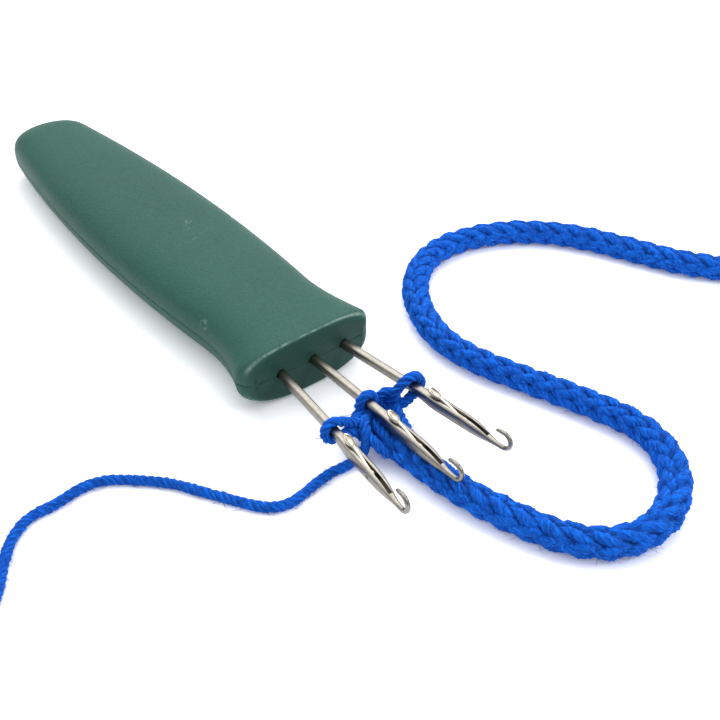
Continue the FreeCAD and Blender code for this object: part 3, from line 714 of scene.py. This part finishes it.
def half_width(x):
    """Half the grip's width at x from the front face, from its side arcs."""
    join = BELLY + (FLARE - BELLY) * (BELLY_RADIUS / (BELLY_RADIUS + FLARE_RADIUS))
    if x > join.x:
        return FLARE.y - sqrt(FLARE_RADIUS ** 2 - (x - FLARE.x) ** 2)
    return BELLY.y + sqrt(BELLY_RADIUS ** 2 - (x - BELLY.x) ** 2)


def tail_reach(turn):
    """Distance from the end of the spine to the outline, at an angle from straight back."""
    start = Vector((SPINE_END, 0.0))
    ray = Vector((-cos(turn), sin(turn)))
    tail_ends = TAIL_RADIUS * (CORNER - TAIL).normalized().y
    belly_ends = BELLY.x + BELLY_RADIUS * (CORNER - BELLY).normalized().x
    best = FAR_OFF
    for centre, radius, on_arc in (
            (TAIL, TAIL_RADIUS, lambda hit: hit.y <= tail_ends),
            (CORNER, CORNER_RADIUS, lambda hit: hit.y > tail_ends and hit.x < belly_ends),
            (BELLY, BELLY_RADIUS, lambda hit: hit.x >= belly_ends)):
        to = start - centre
        b = to.dot(ray)
        root = b * b - to.length_squared + radius ** 2
        if root > 0:
            far = -b + sqrt(root)
            if on_arc(start + ray * far):
                best = min(best, far)
    return best


SHELL_ROWS = 26          # from the parting plane up to the crown
SEAM = 0.22              # chamfer along the parting plane
LOWEST_ROW = 0.06        # the rows of the section begin this far up, in heights
SIDE_RIM, LOWER_RIM = 3.0, 1.3       # the rim at the sides and under the grip, in front rims
CORNER_DRAW, CORNER_LENGTH = 0.06, 11
BOW = 400.0              # twice the radius that the front face is bowed with
BOW_FADE = 6             # the bow is gone after one part in this many of the grip
TAIL_FAN = 0.3           # how much closer to the outline the fan's rows lie straight back


def make_shell(name, fullness, upward, rim):
    """Half of the grip. A grid is wrapped over it: its columns run from the foot of the front
    face over the rim and along the grip, then turn round the tail like a fan."""
    height = AXIS_Z
    quarter = [pi / 2 * k / SHELL_ROWS for k in range(SHELL_ROWS + 1)]
    profile = [(cos(a) ** (2 / fullness), sin(a) ** (2 / fullness)) for a in quarter]
    profile = [(1 - SEAM / HALF_WIDTH, 0.0), (1.0, SEAM / height)] + [
        p for p in profile[1:] if p[1] > LOWEST_ROW]
    profile[-1] = (0.0, 1.0)
    section = profile + [(-w, h) for w, h in profile[-2::-1]]

    def rim_of(h):
        """The rim rounds more at the sides, and under the grip, than along the top edge."""
        share = min(1.0, max(0.0, h)) ** 1.5
        return SIDE_RIM * rim + ((rim if upward else LOWER_RIM * rim) - SIDE_RIM * rim) * share

    def rim_point(w, h, turn):
        """A point on the rounded rim: drawn in from the section, and forward."""
        width = half_width(-rim_of(h))
        inward = rim_of(h) * (1 - cos(turn))
        slope = Vector((abs(w) ** (fullness - 1) * copysign(1, w) / width,
                        max(h, 0) ** (fullness - 1) / height))
        slope = slope.normalized() if slope.length > 0 else Vector((0, 1))
        return w * width - slope.x * inward, max(0.0, h * height - slope.y * inward)

    def bowed(x, y, share):
        """Bow the front face, and draw its far corner in a little."""
        if y > 0:
            near = max(0.0, min(1.0, (x + CORNER_LENGTH) / CORNER_LENGTH))
            y *= 1 - CORNER_DRAW * near ** 2
        return x - y ** 2 / BOW * share, y

    def place(column, row):
        """Where a corner of the grid goes, from the front face and the parting plane."""
        w, h = section[row]
        rim_here = rim_of(h)
        if column < FACE_COLUMNS + RIM_COLUMNS:
            if column < FACE_COLUMNS:
                y, z = rim_point(w, h, pi / 2)
                lip = min(SEAM, z)
                z = lip + (z - lip) * (column - 1) / (FACE_COLUMNS - 1) if column else 0.0
                x = 0.0 if column else -SEAM
            else:
                turn = pi / 2 * (1 - (column - FACE_COLUMNS) / RIM_COLUMNS)
                y, z = rim_point(w, h, turn)
                x = -rim_here * (1 - sin(turn))
            return *bowed(x, y, 1), z
        if column < FACE_COLUMNS + RIM_COLUMNS + GRIP_COLUMNS:
            share = (column - FACE_COLUMNS - RIM_COLUMNS) / GRIP_COLUMNS
            x = -rim_here + (SPINE_END + rim_here) * share
            fade = max(0.0, 1 - share * BOW_FADE) ** 2
            return *bowed(x, w * half_width(x), fade), h * height
        turn = pi / 2 * (1 - (column - COLUMNS + TAIL_COLUMNS) / (TAIL_COLUMNS - 1))
        reach = tail_reach(turn) * abs(w) ** (1 - TAIL_FAN * cos(turn) ** 2)
        side = copysign(1, w) if w else 0.0
        return SPINE_END - reach * cos(turn), reach * sin(turn) * side, h * height

    pick()
    bpy.ops.mesh.primitive_grid_add(x_subdivisions=COLUMNS - 1, y_subdivisions=len(section) - 1,
                                    size=2)
    piece = start_edit(name)
    mesh = bmesh.from_edit_mesh(piece.data)
    for vertex in mesh.verts:
        column = round((vertex.co.x + 1) / 2 * (COLUMNS - 1))
        row = round((vertex.co.y + 1) / 2 * (len(section) - 1))
        x, y, z = place(column, row)
        z = AXIS_Z + z if upward else AXIS_Z - z
        vertex.co = Vector((x + FACE_X, y, z)) * MM
    bmesh.update_edit_mesh(piece.data)
    bpy.ops.mesh.select_all(action="SELECT")
    bpy.ops.mesh.remove_doubles(threshold=MERGE_DISTANCE)
    bpy.ops.mesh.dissolve_degenerate(threshold=MERGE_DISTANCE / 2)
    bpy.ops.mesh.select_all(action="DESELECT")
    bpy.ops.mesh.select_mode(type="EDGE")
    bpy.ops.mesh.select_non_manifold(extend=False)
    bpy.ops.mesh.edge_face_add()
    bpy.ops.mesh.select_all(action="SELECT")
    bpy.ops.mesh.normals_make_consistent(inside=False)
    bpy.ops.mesh.select_mode(type="VERT")
    bpy.ops.object.mode_set(mode="OBJECT")
    return piece


RELIEF_RADIUS, RELIEF_LENGTH = 1.2, 5
RELIEF_AT = (1.2, -0.12, 0.25)       # middle of the bar, from where the stem leaves the face


def exit_reliefs():
    """Short round bars that sink a shallow pocket round each stem in the front face."""
    bars = []
    for side in SIDES:
        pick()
        bpy.ops.mesh.primitive_cylinder_add(vertices=28, radius=RELIEF_RADIUS,
                                            depth=RELIEF_LENGTH, rotation=(0, pi / 2, 0))
        bar = apply_place()
        bar.data.transform(needle_matrix(side) @ Matrix.Diagonal((MM, MM, MM, 1))
                           @ Matrix.Translation(RELIEF_AT))
        bars.append(bar)
    return bars


class MakeGrip(bpy.types.Operator):
    """Mould the two shells of the grip"""
    bl_idname = "icord_maker.grip"
    bl_label = "Grip"

    def execute(self, context):
        settings = context.scene.icord_grip
        material = moulded_satin_plastic(settings.colour)
        rim = settings.front_rim / MM
        upper = make_shell("grip_upper_half", settings.top_fullness, True, rim)
        lower = make_shell("grip_lower_half", settings.bottom_fullness, False, rim)
        for shell, node in ((upper, "handle_upper_shell"), (lower, "handle_lower_shell")):
            cut_away(shell, *exit_reliefs())
            smooth(shell, 40)
            settle(shell, "handle", "green_plastic", material, node)
        return {"FINISHED"}


# -------- needles and latches
def drawn_out(name, stations, ring=20):
    """A rod drawn out by extruding its end face from station to station. A station is x, z, the
    heading in degrees, half the width, half the height and how square the section is."""
    def ring_points(station):
        x, z, heading, wide, high, square = station
        turn = radians(heading)
        across = Vector((-sin(turn), 0, cos(turn)))
        points = []
        for k in range(ring):
            a = 2 * pi * k / ring
            c = copysign(abs(cos(a)) ** (2 / square), cos(a))
            s = copysign(abs(sin(a)) ** (2 / square), sin(a))
            points.append((Vector((x, 0, z)) + Vector((0, 1, 0)) * c * wide
                           + across * s * high) * MM)
        return points

    pick()
    bpy.ops.mesh.primitive_circle_add(vertices=ring, radius=MM, fill_type="NGON")
    piece = start_edit(name)
    here = ring_points(stations[0])
    mesh = bmesh.from_edit_mesh(piece.data)
    mesh.verts.ensure_lookup_table()
    start = sorted(mesh.verts, key=lambda v: atan2(-v.co.x, v.co.y) % (2 * pi))
    for vertex, point in zip(start, here):
        vertex.co = point
    bmesh.update_edit_mesh(piece.data)
    for station in stations[1:]:
        bpy.ops.mesh.extrude_region_move()
        mesh = bmesh.from_edit_mesh(piece.data)
        there = ring_points(station)
        for vertex in mesh.verts:
            if vertex.select:
                k = min(range(ring), key=lambda i: (here[i] - vertex.co).length_squared)
                vertex.co = there[k]
        bmesh.update_edit_mesh(piece.data)
        here = there
    bpy.ops.mesh.select_all(action="SELECT")
    bpy.ops.mesh.normals_make_consistent(inside=False)
    bpy.ops.object.mode_set(mode="OBJECT")
    return piece


# x and z from the front face, heading, half the width, half the height, squareness
NEEDLE_STATIONS = [
    (-26.8, -4.0, 90, 0.9, 1.0, 4), (-26.8, -3.9, 90, 1.0, 1.1, 4), (-26.8, -1.5, 90, 1.0, 1.1, 4),
    (-26.4, -0.6, 60, 1.0, 1.1, 4), (-25.7, -0.15, 25, 1.0, 1.1, 4), (-24.8, 0, 0, 1.0, 1.1, 4),
    (0, 0, 0, 1.0, 1.1, 4), (12, 0, 0, 1.0, 1.1, 4), (22.4, 0, 0, 1.0, 1.1, 4),
    (24.0, -0.05, -2, 1.04, 1.14, 4.2), (26.0, -0.18, -3, 1.16, 1.28, 4.6),
    (28.0, -0.31, -2, 1.30, 1.41, 5), (29.4, -0.35, 0, 1.35, 1.45, 5),
    (33.0, -0.36, 0, 1.35, 1.44, 5), (37.0, -0.40, 0, 1.35, 1.40, 5),
    (39.6, -0.54, -2, 1.33, 1.26, 4.6), (41.4, -0.72, -4, 1.18, 1.08, 4.2),
    (43.0, -0.93, -4, 0.96, 0.87, 3.6), (44.4, -1.12, -3, 0.74, 0.68, 2.8),
    (45.6, -1.21, -1, 0.61, 0.59, 2.2), (46.6, -1.22, 0, 0.58, 0.58, 2),
]
HOOK_CENTRE = (47.4, 0.80)
HOOK_RADIUS = 2.02
HOOK_STEPS = 16
HOOK_WIRE, HOOK_THINNING = 0.58, 0.08


def hook_stations():
    """The wire bends round in half a ring, thins a little and ends in a blunt point."""
    stations = []
    for k in range(HOOK_STEPS + 1):
        turn = -90 + 180 * k / HOOK_STEPS
        wire = HOOK_WIRE - HOOK_THINNING * k / HOOK_STEPS
        stations.append((HOOK_CENTRE[0] + HOOK_RADIUS * cos(radians(turn)),
                         HOOK_CENTRE[1] + HOOK_RADIUS * sin(radians(turn)),
                         turn + 90, wire, wire, 2))
    stations += [(46.8, 2.78, 184, 0.47, 0.47, 2), (46.2, 2.70, 189, 0.43, 0.42, 2),
                 (45.75, 2.61, 192, 0.36, 0.34, 2), (45.5, 2.55, 193, 0.24, 0.23, 2),
                 (45.4, 2.53, 193, 0.10, 0.10, 2)]
    return stations


# the same, for the latch lying back: x from the rivet, half the width, half the height, squareness
LATCH_STATIONS = [(x, 0, 180, wide, high, square) for x, wide, high, square in (
    (0.88, 0.20, 0.12, 3), (0.82, 0.34, 0.38, 3), (0.6, 0.37, 0.66, 4), (0.3, 0.37, 0.84, 4),
    (0.0, 0.37, 0.9, 4), (-0.3, 0.37, 0.84, 4), (-0.7, 0.37, 0.58, 4), (-1.1, 0.37, 0.40, 4),
    (-1.8, 0.37, 0.35, 4), (-4.5, 0.37, 0.32, 4), (-6.6, 0.37, 0.29, 3.4),
    (-7.15, 0.40, 0.29, 3), (-7.5, 0.56, 0.35, 2.6), (-7.9, 0.76, 0.41, 2.4),
    (-8.4, 0.92, 0.45, 2.3), (-9.0, 1.0, 0.45, 2.3), (-9.6, 0.97, 0.44, 2.3),
    (-10.2, 0.84, 0.39, 2.3), (-10.65, 0.64, 0.32, 2.3), (-10.92, 0.42, 0.22, 2.2),
    (-11.05, 0.16, 0.09, 2))]


def round_bar(radius, length, centre):
    """A round bar across the needle, for a hole or a pin."""
    pick()
    bpy.ops.mesh.primitive_cylinder_add(vertices=32, radius=radius * MM, depth=length * MM,
                                        rotation=(pi / 2, 0, 0),
                                        location=Vector(centre) * MM)
    return apply_place()


SLOT_HALF_WIDTH = 0.45
SLOT_TOP = (27.2, 44.8, 2.0)         # back, front and height of its upper edge
SLOT_FLOOR = (31.6, 42.9, -1.42)


def slot_cutter():
    """The latch slot: a narrow trough with sloping ends."""
    pick()
    bpy.ops.mesh.primitive_cube_add(size=2)
    cutter = start_edit("slot")
    mesh = bmesh.from_edit_mesh(cutter.data)
    for vertex in mesh.verts:
        back, front, z = SLOT_TOP if vertex.co.z > 0 else SLOT_FLOOR
        x = front if vertex.co.x > 0 else back
        vertex.co = Vector((x, copysign(SLOT_HALF_WIDTH, vertex.co.y), z)) * MM
    bmesh.update_edit_mesh(cutter.data)
    bpy.ops.object.mode_set(mode="OBJECT")
    return cutter


def cup_cutter():
    """The hollow of the latch's spoon."""
    pick()
    bpy.ops.mesh.primitive_uv_sphere_add(segments=32, ring_count=16, radius=MM,
                                         location=Vector((-9.0, 0, 0.40)) * MM,
                                         scale=(1.45, 0.70, 0.52))
    return apply_place()


def make_rivet():
    """A short pin whose ends are dished by the peening tool."""
    round_bar(RIVET_RADIUS, RIVET_LENGTH, RIVET_AT)
    pin = start_edit("rivet")
    bpy.ops.mesh.select_all(action="DESELECT")
    bpy.ops.mesh.select_mode(type="FACE")
    mesh = bmesh.from_edit_mesh(pin.data)
    for sign in (-1, 1):
        for face in mesh.faces:
            face.select_set(face.normal.y * sign > 0.9)
        bmesh.update_edit_mesh(pin.data)
        bpy.ops.mesh.inset(thickness=DISH_LIP, depth=0)
        bpy.ops.mesh.inset(thickness=DISH_SLOPE, depth=-DISH_DEPTH)
        mesh = bmesh.from_edit_mesh(pin.data)
    bpy.ops.object.mode_set(mode="OBJECT")
    return pin


class MakeNeedles(bpy.types.Operator):
    """Make the latch needles with their hooks, swinging latches and rivets"""
    bl_idname = "icord_maker.needles"
    bl_label = "Latch needles"

    def execute(self, context):
        settings = context.scene.icord_metal
        plate = nickel_plated_steel("nickel_plated_steel", settings.needle_colour,
                                    roughness=0.23)
        polish = nickel_plated_steel("polished_latch_steel", settings.latch_colour,
                                     roughness=0.14)
        needle = drawn_out("needle", NEEDLE_STATIONS + hook_stations())
        cut_away(needle, slot_cutter(), round_bar(RIVET_RADIUS, 6, RIVET_AT))
        latch = drawn_out("latch", LATCH_STATIONS)
        cut_away(latch, cup_cutter(), round_bar(RIVET_RADIUS + LATCH_CLEARANCE, 3, (0, 0, 0)))
        rivet = make_rivet()
        for piece in (needle, latch, rivet):
            smooth(piece, 38)
        swing = Matrix.Translation(Vector(RIVET_AT) * MM) @ Matrix.Rotation(LATCH_OPEN, 4, "Y")
        for side in SIDES:
            place = needle_matrix(side)
            settle(copy_piece(needle, f"latch_needle_{side}", place), "handle", "needle_steel",
                   plate, f"needle_{side}")
            settle(copy_piece(latch, f"swinging_latch_{side}", place @ swing), f"latch_{side}",
                   "latch_steel", polish, f"latch_{side}")
            settle(copy_piece(rivet, f"rivet_{side}", place), "handle", "needle_steel", plate,
                   f"latch_rivet_{side}")
        for piece in (needle, latch, rivet):
            bpy.data.objects.remove(piece)
        return {"FINISHED"}


# -------- stage
CAMERA_AT = (0.19453, -0.10471, 0.15266)
CAMERA_TURN = ((51.18, "Z"), (90 - 38.78, "X"), (-0.11, "Z"))      # degrees, outermost first
LIGHTS_AIM = Vector((0.03, 0.01, 0))
RIM_SHARE = 0.2          # of the key light's power


class MakeStage(bpy.types.Operator):
    """Set up the camera, the pale floor and the soft light"""
    bl_idname = "icord_maker.stage"
    bl_label = "Stage"

    def execute(self, context):
        settings = context.scene.icord_stage
        scene = context.scene
        scene.view_settings.view_transform = "Standard"
        lens = bpy.data.cameras.new("camera")
        lens.lens = 50.0
        lens.sensor_width = 36.0
        lens.clip_start = 0.01
        camera = new_piece("camera", lens)
        place = Matrix.Translation(CAMERA_AT)
        for angle, axis in CAMERA_TURN:
            place = place @ Matrix.Rotation(radians(angle), 4, axis)
        camera.matrix_world = place
        scene.camera = camera

        pick()
        bpy.ops.mesh.primitive_plane_add(size=4)
        floor = bpy.context.object
        floor.name = "floor"
        paper, shader, add = new_material("matt_white_paper")
        tooth = add("TexNoise", {"Vector": add("TexCoord").outputs["Object"], "Scale": 900,
                                 "Detail": 2})
        fill(shader, {
            "Base Color": settings.floor_colour, "Roughness": 0.8,
            "Emission Color": (0.9, 0.93, 1.0), "Emission Strength": 0.16,
            "Normal": add("Bump", {"Height": tooth, "Strength": 0.05, "Distance": 0.0001})})
        floor.data.materials.append(paper)

        world = bpy.data.worlds.new("soft_room")
        world.use_nodes = True
        world.node_tree.nodes.clear()
        add = partial(add_node, world.node_tree)
        direction = add("TexCoord").outputs["Generated"]
        height = add("SeparateXYZ", [direction]).outputs["Z"]
        rise = add("MapRange", (height, 0.22, 0.7, 0.5, 1.75))
        # the dim side of the room, where the onlooker stands
        toward = add("VectorMath", (direction, (0.72, -0.58, 0.38)), operation="DOT_PRODUCT")
        dim = add("MapRange", (toward, 0.35, 0.9, 1.0, 0.35))
        room = add("Math", (rise, dim), operation="MULTIPLY")
        # a pale backdrop just above the floor's edge, all round
        backdrop = add("MapRange", (height, 0.10, 0.17, 0.8, 0.0))
        level = add("Math", (room, backdrop), operation="MAXIMUM")
        add("OutputWorld", [add("Background", ((0.97, 0.985, 1.0), level))])
        scene.world = world

        for name, spot, size, power, tint in (
                ("key_light", (-0.28, 0.36, 0.62), 0.8, settings.key_power, (1.0, 0.99, 0.97)),
                ("rim_light", (0.36, 0.26, 0.33), 0.16, settings.key_power * RIM_SHARE,
                 (0.95, 0.97, 1))):
            light = bpy.data.lights.new(name, "AREA")
            light.shape = "DISK"
            light.size = size
            light.energy = power
            light.color = tint
            lamp = new_piece(name, light)
            lamp.location = spot
            aim = LIGHTS_AIM - Vector(spot)
            lamp.rotation_euler = aim.to_track_quat("-Z", "Y").to_euler()
        return {"FINISHED"}


# -------- panel and registration
class CordMakerPanel(bpy.types.Panel):
    """The steps that build the i-cord maker"""
    bl_idname = "VIEW3D_PT_icord_maker"
    bl_label = "I-Cord Maker"
    bl_space_type = "VIEW_3D"
    bl_region_type = "UI"
    bl_category = "I-Cord Maker"

    def draw(self, context):
        for group in SETTINGS:
            settings = getattr(context.scene, group)
            for name in settings.__annotations__:
                self.layout.prop(settings, name)
        for step in STEPS:
            self.layout.operator(step.bl_idname)


STEPS = (MakeStage, MakeCord, MakeYarn, MakeStitches, MakeGrip, MakeNeedles)
SETTINGS = {"icord_grip": GripSettings, "icord_metal": MetalSettings,
            "icord_yarn": YarnSettings, "icord_stage": StageSettings}


def register():
    for name, group in SETTINGS.items():
        bpy.utils.register_class(group)
        setattr(bpy.types.Scene, name, bpy.props.PointerProperty(type=group))
    for step in (*STEPS, CordMakerPanel):
        bpy.utils.register_class(step)


def unregister():
    for step in (CordMakerPanel, *reversed(STEPS)):
        bpy.utils.unregister_class(step)
    for name, group in SETTINGS.items():
        delattr(bpy.types.Scene, name)
        bpy.utils.unregister_class(group)


def main():
    register()
    bpy.ops.icord_maker.stage()
    bpy.ops.icord_maker.cord()
    bpy.ops.icord_maker.yarn()
    bpy.ops.icord_maker.stitches()
    bpy.ops.icord_maker.grip()
    bpy.ops.icord_maker.needles()


if __name__ == "__main__":
    main()
